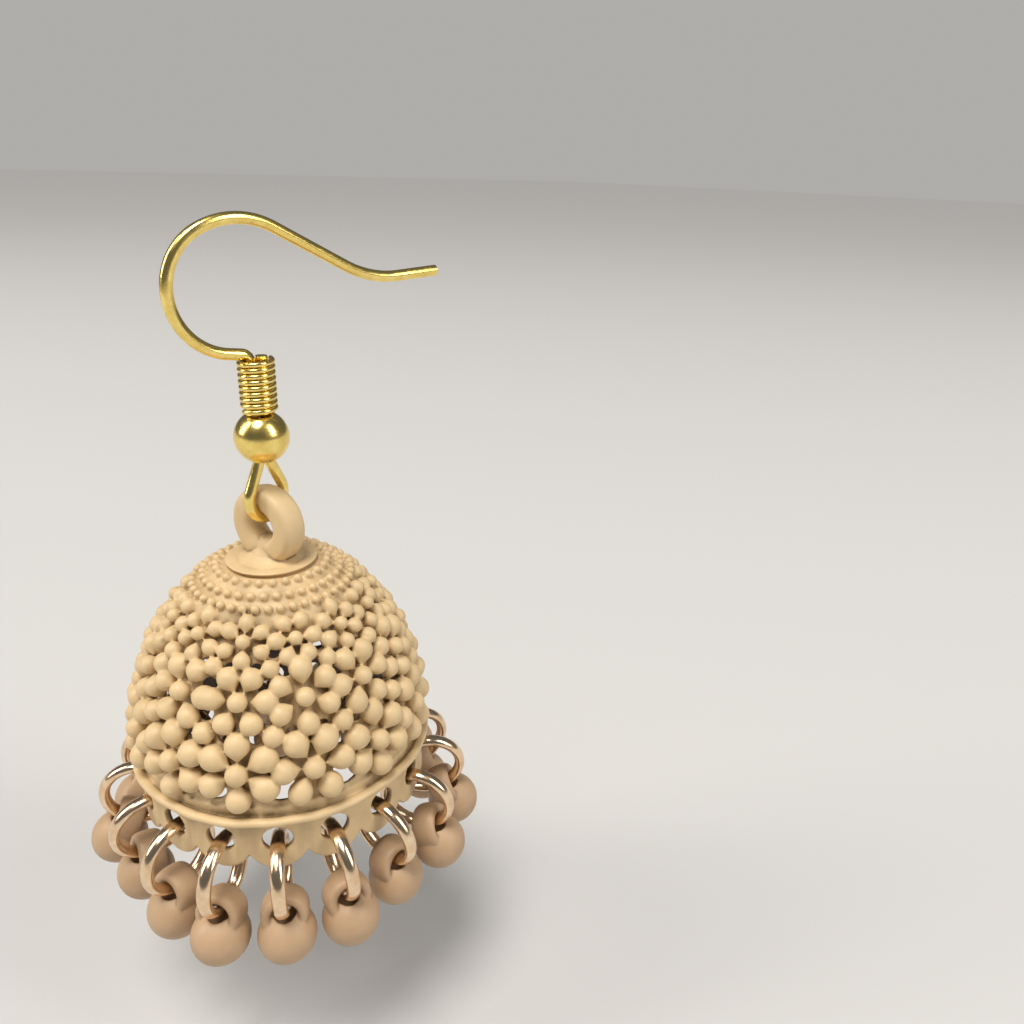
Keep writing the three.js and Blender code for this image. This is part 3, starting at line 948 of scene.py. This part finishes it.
def without_crumbs(made, fewest_points=100):
    """Deletes loose bits, which are those that have only a few points."""
    work = bmesh.new()
    work.from_mesh(made.data)
    seen, crumbs = set(), []
    for start in work.verts:
        if start in seen:
            continue
        seen.add(start)
        bit, waiting = [], [start]
        while waiting:
            point = waiting.pop()
            bit.append(point)
            near = {edge.other_vert(point) for edge in point.link_edges} - seen
            seen |= near
            waiting += near
        if len(bit) < fewest_points:
            crumbs += bit
    print(made.name, "loose points deleted:", len(crumbs))
    bmesh.ops.delete(work, geom=crumbs, context="VERTS")
    work.to_mesh(made.data)
    work.free()
    return made


casting = melted("casting", [wall, petals, balls, *dots, rim, band, skirt], VOXEL)
print("casting before thinning:", len(casting.data.polygons), "faces")
casting = without_crumbs(thinned(casting, CASTING_TRIANGLES))
discard(petal, ball, cutter, fine_cutter)

# %% [markdown]
# Shade is painted into the corners. To know where they are, the mesh is asked how far each point
# lies below the average of its neighbours. Smoothing that number a few times gives a soft mask, and
# the paint finish darkens the colour by it, as painted shade. The inside, which is painted dark as
# shade, is simpler: it is all that lies behind the middle of the wall or of the skirt.

# %% Find the corners, for the painted shade
CAST_HOLLOW_SHADE = 0.9  # how strongly shade is painted into the corners


def read_points(mesh, kind="co"):
    """One row for each point of a mesh: its place, or its normal."""
    flat = np.empty(len(mesh.vertices) * 3, np.float32)
    mesh.vertices.foreach_get(kind, flat)
    return flat.reshape(-1, 3)


def write_mark(made, name, values):
    mark = made.data.attributes.new(name, "FLOAT", "POINT")
    mark.data.foreach_set("value", values.astype(np.float32))
    print(made.name, name, "points:", int((values > 0.5).sum()), "of", len(values))


def mark_hollows(made, strength=CAST_HOLLOW_SHADE, rounds=6):
    mesh = made.data
    points, normals = read_points(mesh), read_points(mesh, "normal")
    count = len(points)
    edges = np.empty(len(mesh.edges) * 2, np.int32)
    mesh.edges.foreach_get("vertices", edges)
    a, b = edges.reshape(-1, 2).T
    shares = np.bincount(a, minlength=count) + np.bincount(b, minlength=count)
    shares = np.maximum(shares, 1)

    def neighbours(values):
        total = np.zeros_like(values)
        np.add.at(total, a, values[b])
        np.add.at(total, b, values[a])
        return total / (shares if values.ndim == 1 else shares[:, None])

    lengths = np.linalg.norm(points[a] - points[b], axis=1)
    reach = np.zeros(count)
    np.add.at(reach, a, lengths)
    np.add.at(reach, b, lengths)
    reach /= shares
    below = ((neighbours(points) - points) * normals).sum(1) / np.maximum(reach, 1e-6) ** 2
    for _ in range(rounds):
        below = 0.5 * below + 0.5 * neighbours(below)
    write_mark(made, "hollow", np.clip(below * strength, 0, 1))


mark_hollows(casting)

# %% Find the inside, which is painted dark as shade
INSIDE_DEPTH = 0.42  # where the painted shade starts, under the wall's own curve
INSIDE_BLEND = 0.12


def mark_inside(made):
    x, y, height = read_points(made.data).T
    radius = np.hypot(x, y)
    share = np.clip(height / (WALL_CROWN - INSIDE_DEPTH), 0, 1)
    behind = (WALL_RADIUS - INSIDE_DEPTH) * np.sqrt(1 - share**BELL_FULLNESS)
    behind = np.where(height < 0, SKIRT_RADIUS - INSIDE_BLEND / 2, behind)
    write_mark(made, "inside", np.clip((behind - radius) / INSIDE_BLEND + 0.5, 0, 1))


mark_inside(casting)
finished(casting, cast_paint, "dome", ["jhumka_dome"])

# %% [markdown]
# ## Cap and bail ring
# The cap is a thin disc with a sharp edge, slightly dished, that was set on the bell and soldered.
# A dark line shows under its edge. The bail ring stands on it on a short foot that fills the lower
# end of the ring's hole. Both are turned, melted together finely, and painted with the bell.

# %% Cap and bail ring
LOOP_TURN = 18
CAP_RADIUS = 2.6
CAP_EDGE = 0.14
CAP_DISH = 0.07
CAP_SOLE = 0.48
BAIL_RADIUS = 1.56
BAIL_HALF_DEPTH = 0.72
BAIL_HALF_WIDTH = 0.82
BAIL_SQUARENESS = 0.62
BAIL_HEIGHT = 13.85
FOOT_TOP = 13.1
CAP_VOXEL = 0.05
CAP_TRIANGLES = 30000
# how strongly shade is painted into the cap's corners
CAP_HOLLOW_SHADE = 0.6

# share of the radius, and depth under the top of the edge
CAP_OUTLINE = [
    (0.0, CAP_DISH), (0.62, CAP_DISH), (0.88, 0.2 * CAP_DISH), (0.98, 0.0), (1.0, 0.3 * CAP_EDGE),
    (1.0, CAP_EDGE), (0.92, 1.1 * CAP_EDGE), (0.88, CAP_SOLE), (0.0, CAP_SOLE),
]
# radius, and depth under the top of the foot
FOOT_OUTLINE = [
    (0.0, 0.0), (0.50, 0.0), (0.72, 0.20), (0.88, 0.55), (1.12, 0.88),
    (1.50, 1.12), (1.95, 1.27), (2.25, 1.36), (0.0, 1.60),
]


def upright(made, height, turn):
    """Stands a ring up on its edge, with its middle at a height on the axis."""
    made.data.transform(
        Matrix.Translation((0, 0, height))
        @ Matrix.Rotation(math.radians(turn), 4, "Z")
        @ Matrix.Rotation(math.radians(90), 4, "Y")
    )
    return made


def round_ring(name, radius, section, sides):
    """A ring whose middle line has this radius."""
    return turned_piece(name, [(radius + x, z) for x, z in section], sides, closed=True)


disc_outline = [(CAP_RADIUS * r, BELL_HEIGHT - z) for r, z in CAP_OUTLINE]
disc = turned_piece("disc", disc_outline, sides=120)
foot = turned_piece("foot", [(r, FOOT_TOP - z) for r, z in FOOT_OUTLINE], sides=48)
bail_section = oval(BAIL_HALF_DEPTH, BAIL_HALF_WIDTH, sides=28, power=BAIL_SQUARENESS)
bail = upright(round_ring("bail", BAIL_RADIUS, bail_section, sides=72), BAIL_HEIGHT, LOOP_TURN)
cap = thinned(melted("cap_and_bail", [disc, foot, bail], CAP_VOXEL), CAP_TRIANGLES)
# Shade is painted into the cap's corners, as on the bell.
mark_hollows(cap, CAP_HOLLOW_SHADE)
finished(cap, cast_paint, "dome", ["jhumka_dome"])

# %% [markdown]
# ## Jump rings
# A ring goes through each hole of the skirt. The frame already says where each one hangs, so its
# middle and its plane are measured on the plain ring: the middle is the average of its points,
# and the plane's normal is the direction in which the points spread least. The drop's own middle
# says which way is down.

# %% Places of the rings and drops
RING_INNER = 1.78
RING_WIRE = 0.82  # along the ring's axis
RING_DEPTH = 0.64  # in the ring's plane, where the rolls have pressed the wire
PLAIN_MIDDLE = 1.46  # middle of a plain ring, under the place where it rests in its hole
RING_MIDDLE = 1.55  # and of a fine ring


def points_of(node):
    """The node's points in millimetres, about the bell's axis."""
    spots = np.unique(read_points(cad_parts[node].data).round(7), axis=0)
    back = np.array(BELL_FRAME.inverted())
    return spots @ back[:3, :3].T + back[:3, 3]


def hanging_places():
    places = []
    for ring_node, drop_node in zip(ring_nodes, drop_nodes):
        ring, drop = points_of(ring_node), points_of(drop_node)
        middle = ring.mean(0)
        normal = np.linalg.svd(ring - middle)[2][2]
        low, high = drop.min(0), drop.max(0)
        up = Vector(middle - (low + high) / 2)
        side = Vector(normal)
        up = (up - up.dot(side) * side).normalized()
        if side.dot(Vector((-middle[1], middle[0], 0))) < 0:
            side.negate()
        out = side.cross(up)
        turn = Matrix((out, side, up)).transposed()
        place = Vector(middle) + PLAIN_MIDDLE * up
        places.append((place, turn, (1, 1, 1)))
    return places


ring_nodes = [f"jump_ring_{i:02d}" for i in range(1, DROP_COUNT + 1)]
drop_nodes = [f"ball_drop_{i:02d}" for i in range(1, DROP_COUNT + 1)]
hanging = hanging_places()
print("first ring hangs at", [round(x, 2) for x in hanging[0][0]])

# %% [markdown]
# Real jump rings are cut from a coil of wire and closed with pliers. A fine slit stays where the
# ends meet, and the ends are never quite in line. A wire tree draws the ring from a path of
# points, and the same tree serves the hook later. The ring's wire is then pressed a little, so
# that its section is an oval that is narrow in the ring's plane.

# %% Tree that draws wire along a path
def wire_tree():
    tree, given, target = new_group(
        "wire_along_path",
        "GeometryNodeTree",
        {"Path": "Geometry", "Wire Radius": 0.3, "Sides": 16, "Finish": "Material"},
        {"Geometry": "Geometry"},
    )
    path = add(tree, "GeometryNodeMeshToCurve", Mesh=given["Path"])
    section = add(
        tree,
        "GeometryNodeCurvePrimitiveCircle",
        Resolution=given["Sides"],
        Radius=given["Wire Radius"],
    )
    drawn = add(
        tree,
        "GeometryNodeCurveToMesh",
        Curve=path.outputs["Curve"],
        Profile_Curve=section.outputs["Curve"],
        Fill_Caps=True,
    )
    return close_tree(tree, target, drawn.outputs["Mesh"], given["Finish"])


wire_along_path = wire_tree()
print("nodes in the tree of wire:", len(wire_along_path.nodes))


def wire(name, points, radius, sides, finish):
    path = mesh_piece(name, points, [], [(i, i + 1) for i in range(len(points) - 1)])
    return grown(path, wire_along_path, {"Wire Radius": radius, "Sides": sides, "Finish": finish})


# %% Jump rings
RING_SLIT = 0.035
RING_SLIT_TURN = 118  # in degrees: near the top, inside the skirt
RING_SLIT_SHIFT = 0.03  # how far the wire's two ends miss each other, along the ring's axis
RING_CIRCLE = RING_INNER + RING_DEPTH / 2  # the circle that runs through the ring's wire


def ring_path(steps=56):
    """Nearly a whole turn in the plane of X and Z."""
    open_angle = RING_SLIT / RING_CIRCLE
    start = math.radians(RING_SLIT_TURN) + open_angle / 2
    points = []
    for i in range(steps + 1):
        share = i / steps
        angle = start + (2 * math.pi - open_angle) * share
        x, z = RING_CIRCLE * math.cos(angle), RING_CIRCLE * math.sin(angle)
        points.append((x, RING_SLIT_SHIFT * (share - 0.5), z - RING_MIDDLE))
    return points


def pressed(made):
    """Moves each point of a round ring towards the circle that runs through its wire."""
    for vertex in made.data.vertices:
        spoke = Vector((vertex.co.x, 0, vertex.co.z + RING_MIDDLE))
        excess = spoke.length - RING_CIRCLE
        vertex.co += (RING_DEPTH / RING_WIRE - 1) * excess * spoke.normalized()
    return made


ring = pressed(wire("ring", ring_path(), RING_WIRE / 2, sides=16, finish=rose_gold))
rings = copies("jump_rings", ring, hanging, rose_gold)
discard(ring)
finished(rings, rose_gold, "dome", ring_nodes)

# %% [markdown]
# ## Ball drops
# Each drop is cast in one piece, a ball with a wide eyelet on top, and painted like the bell. The
# eyelet stands deep in the ball, so its hole leaves a pit in the top of the ball. Ball and eyelet
# are melted into one skin, and the skin is copied to every ring.

# %% Ball drops
EYELET_HOLE = 0.68
EYELET_WALL = 0.68
EYELET_WIDTH = 1.6
EYELET_SQUARENESS = 0.75
EYELET_SLACK = 0.10  # between the ring's lowest wire and the top of the hole
BALL_RADIUS = 1.67
BALL_REACH = 1.475  # middle of the eyelet to the middle of the ball
EYELET_DEPTH = RING_MIDDLE + RING_INNER - EYELET_SLACK + EYELET_HOLE
PIT_REACH = 1.0  # half the length of the pit in the ball, along the hole
DROP_VOXEL = 0.08
DROP_SMOOTH_STEPS = 4
DROP_TRIANGLES = 7500


def one_drop():
    """A drop that hangs from a ring resting at height 0. The eyelet's hole runs along X."""
    section = oval(EYELET_WALL / 2, EYELET_WIDTH / 2, sides=24, power=EYELET_SQUARENESS)
    eyelet = round_ring("eyelet", EYELET_HOLE + EYELET_WALL / 2, section, sides=56)
    eyelet = upright(eyelet, -EYELET_DEPTH, 0)
    body = unit_ball("drop_ball", sides=40, bands=24)
    centre = Vector((0, 0, -EYELET_DEPTH - BALL_REACH))
    body.data.transform(Matrix.Translation(centre) @ Matrix.Scale(BALL_RADIUS, 4))
    pit = unit_ball("pit", sides=32, bands=20)
    pit.data.transform(Matrix.Diagonal((EYELET_HOLE, EYELET_HOLE, PIT_REACH, 1)))
    body = cut(body, upright(pit, -EYELET_DEPTH, 0))
    skin = melted("drop", [body, eyelet], DROP_VOXEL, DROP_SMOOTH_STEPS)
    return thinned(skin, DROP_TRIANGLES)


drop = one_drop()
# Shade is painted into the drop's corners, as on the bell.
mark_hollows(drop)
drops = copies("ball_drops", drop, hanging, drop_paint)
discard(drop)
finished(drops, drop_paint, "dome", drop_nodes)

# %% [markdown]
# ## Hook
# The hook is one length of round wire. It starts in a short nub over the coil, runs down through
# coil and ball, goes round the loop that carries the bell, comes back up beside itself, and bends
# over the ear to a long tail. The path is walked like a bending plan: straight runs and arcs.

# %% The hook's path
HOOK_WIRE = 0.64
LEG_OFFSET = HOOK_WIRE / 2 + 0.02
COIL_WIRE = 0.3
COIL_PITCH = 0.32
COIL_TURNS = 8.5
COIL_BOTTOM = 20.422
COIL_TOP = COIL_BOTTOM + COIL_TURNS * COIL_PITCH + COIL_WIRE
BALL_UNDERSIDE = 17.74
LOOP_HEIGHT = 14.32
LOOP_RADIUS = 1.26
FIT_GAP = 0.05
NUB_HEIGHT = 0.05
SHOULDER_RADIUS = 0.45
BENDS = [  # radius, turn to the left in degrees, and the straight run after it
    dict(radius=SHOULDER_RADIUS, turn=82, run=0.69, steps=10),
    dict(radius=3.3, turn=-144, run=0, steps=48),
    dict(radius=4.4, turn=-55, run=4.6, steps=22),
    dict(radius=6.6, turn=30.6, run=2.7, steps=16),
]
RUN_STEPS = 4
LEG_STEPS = 8


def over_the_ear(x, z):
    """Walks the bends in the plane of the hook, from a point where the wire runs upwards."""
    points, heading = [(x, z)], math.radians(90)

    def go(length):
        x, z = points[-1]
        points.append((x + length * math.cos(heading), z + length * math.sin(heading)))

    for bend in BENDS:
        turn = math.radians(bend["turn"]) / bend["steps"]
        for _ in range(bend["steps"]):
            heading += turn / 2
            go(2 * bend["radius"] * math.sin(abs(turn) / 2))
            heading += turn / 2
        if bend["run"]:
            for _ in range(RUN_STEPS):
                go(bend["run"] / RUN_STEPS)
    return points


def loop_round(steps=44):
    """The loop that carries the bell: down from the right leg, round, and up to the left leg."""
    leg_foot = BALL_UNDERSIDE - FIT_GAP
    centre = LOOP_HEIGHT + LOOP_RADIUS
    reach = math.hypot(LEG_OFFSET, leg_foot - centre)
    touch = math.atan2(leg_foot - centre, LEG_OFFSET) - math.acos(LOOP_RADIUS / reach)
    points = [(LEG_OFFSET, leg_foot)]
    for i in range(steps + 1):
        angle = touch - (math.pi + 2 * touch) * i / steps
        points.append((LOOP_RADIUS * math.cos(angle), centre + LOOP_RADIUS * math.sin(angle)))
    return [*points, (-LEG_OFFSET, leg_foot)]


def hook_path():
    shoulder = COIL_TOP - COIL_PITCH / 2 + FIT_GAP - (SHOULDER_RADIUS - HOOK_WIRE / 2)
    loop = loop_round()
    leg_foot = loop[0][1]
    levels = np.linspace(leg_foot, shoulder, LEG_STEPS)
    nub = (LEG_OFFSET, COIL_TOP + NUB_HEIGHT)
    down = [(LEG_OFFSET, z) for z in levels[:0:-1]]
    up = [(-LEG_OFFSET, z) for z in levels[1:-1]]
    path = []
    for x, z in [nub, *down, *loop, *up, *over_the_ear(-LEG_OFFSET, shoulder)]:
        share = min(max((shoulder - z) / (shoulder - leg_foot), 0), 1)
        path.append(polar(x, math.radians(LOOP_TURN) * share, z))
    return path


hook = wire("hook", hook_path(), HOOK_WIRE / 2, sides=20, finish=yellow_gold)
finished(hook, yellow_gold, "hook", ["ear_hook"])

# %% [markdown]
# ## Coil and ball
# The coil is a helix of thinner wire, close wound over both legs. Under it sits a hollow ball
# with a bore for the legs, a little flattened at its two mouths.

# %% Coil
def coil_path(steps_per_turn=28):
    radius = LEG_OFFSET + HOOK_WIRE / 2 + FIT_GAP + COIL_WIRE / 2
    steps = round(COIL_TURNS * steps_per_turn)
    points = []
    for i in range(steps + 1):
        turn = i / steps_per_turn
        angle = 2 * math.pi * (turn - COIL_TURNS)
        height = COIL_BOTTOM + COIL_WIRE / 2 + turn * COIL_PITCH
        points.append(polar(radius, angle, height))
    return points


coil = wire("coil", coil_path(), COIL_WIRE / 2, sides=12, finish=yellow_gold)
finished(coil, yellow_gold, "hook", ["coil_wrap"])

# %% Hook ball
BEAD_RADIUS = 1.5
BEAD_BORE = 0.72
BEAD_LIP = 0.06


def hook_ball_profile(steps=28):
    half = math.sqrt(BEAD_RADIUS**2 - BEAD_BORE**2)
    edge = math.asin(half / BEAD_RADIUS)
    angles = [edge - 2 * edge * i / steps for i in range(1, steps)]
    outside = [(BEAD_RADIUS * math.cos(a), BEAD_RADIUS * math.sin(a)) for a in angles]
    corner = 0.3 * BEAD_LIP
    lip = [(BEAD_BORE, half - BEAD_LIP), (BEAD_BORE + corner, half - corner)]
    mouth = [(r, -z) for r, z in reversed(lip)]
    return [(r, BALL_HEIGHT + z) for r, z in [*lip, *outside, *mouth]]


bead = turned_piece("bead", hook_ball_profile(), sides=64, closed=True)
finished(bead, yellow_gold, "hook", ["hook_ball"])

# %% [markdown]
# ## Studio
# The earring hangs free over a pale floor. Soft light from above and in front shows the round
# forms of the paint. Polished gold needs something bright and something dark to mirror, so tall
# lamps stand left and right and the sky between them is dim. Only the camera sees the sky pale,
# which is done with a Light Path node, so that floor and backdrop meet without a dark line.

# %% Floor
FLOOR_GAP = 0.012
FLOOR_HALF = 3
FLOOR_COLOUR = (0.58, 0.57, 0.557, 1)
FLOOR_ROUGHNESS = 0.8


def floor_piece():
    level = cad_box[0].z - FLOOR_GAP
    signs = ((-1, -1), (1, -1), (1, 1), (-1, 1))
    corners = [(FLOOR_HALF * x, FLOOR_HALF * y, level) for x, y in signs]
    made = mesh_piece("floor", corners, [[0, 1, 2, 3]])
    finish, tree, surface = new_finish("pale_floor")
    feed(tree, surface, Base_Color=FLOOR_COLOUR, Roughness=FLOOR_ROUGHNESS)
    made.data.materials.append(finish)
    made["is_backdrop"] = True
    print("floor level:", round(level, 4))


floor_piece()

# %% Lamps
middle = (cad_box[0] + cad_box[1]) / 2
heading = math.radians(CAMERA_HEADING)
forward = Vector((math.sin(heading), math.cos(heading), 0))
right = Vector((forward.y, -forward.x, 0))
above = Vector((0, 0, 1))


def lamp(name, kind, place, power, colour):
    """A lamp that points at the earring's middle. Its place is across, away and up from there."""
    across, away, up = place
    light = bpy.data.lights.new(name, kind)
    light.energy = power
    light.color = colour
    made = in_scene(name, light)
    made.location = middle + across * right + away * forward + up * above
    made.rotation_mode = "QUATERNION"
    made.rotation_quaternion = (middle - made.location).to_track_quat("-Z", "Y")
    return light


TALL, LOW = (0.20, 0.50), (0.30, 0.22)  # width and height
LAMPS = [
    dict(name="left", place=(-0.52, -0.12, 0.34), size=TALL, power=2.0, colour=(1, 0.97, 0.92)),
    dict(name="right", place=(0.50, -0.18, 0.36), size=TALL, power=1.9, colour=(1, 0.98, 0.95)),
    dict(name="front", place=(-0.12, -0.30, 0.62), size=LOW, power=1.0, colour=(1, 0.96, 0.90)),
]
for row in LAMPS:
    panel = lamp(row["name"], "AREA", row["place"], row["power"], row["colour"])
    panel.shape = "RECTANGLE"
    panel.size, panel.size_y = row["size"]

# %% Wide soft light
WIDE_PLACE = (-0.10, -0.30, 0.95)
WIDE_STRENGTH = 2.0
WIDE_COLOUR = (1, 0.97, 0.93)
WIDE_ANGLE = 24  # degrees across, as the earring sees it

wide = lamp("wide", "SUN", WIDE_PLACE, WIDE_STRENGTH, WIDE_COLOUR)
wide.angle = math.radians(WIDE_ANGLE)
print("lamps:", [light.name for light in bpy.data.lights])

# %% Sky
SEEN_SKY = (0.43, 0.418, 0.405, 1)
DIM_SKY = (0.13, 0.132, 0.138, 1)

sky = bpy.data.worlds.new("sky")
sky.use_nodes = True
by_camera = add(sky.node_tree, "ShaderNodeLightPath").outputs["Is Camera Ray"]
shown = mixed(sky.node_tree, by_camera, DIM_SKY, SEEN_SKY)
feed(sky.node_tree, sky.node_tree.nodes["Background"], Color=shown)
bpy.context.scene.world = sky
bpy.context.scene.view_settings.view_transform = "Standard"

# %% [markdown]
# Last, the boxes of the plain model and of the dressed one are printed, so that they can be
# compared.

# %% Measure and finish
visual_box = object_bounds()
for label, box in (("plain", cad_box), ("dressed", visual_box)):
    print(label, [round(1000 * x, 2) for corner in box for x in corner])
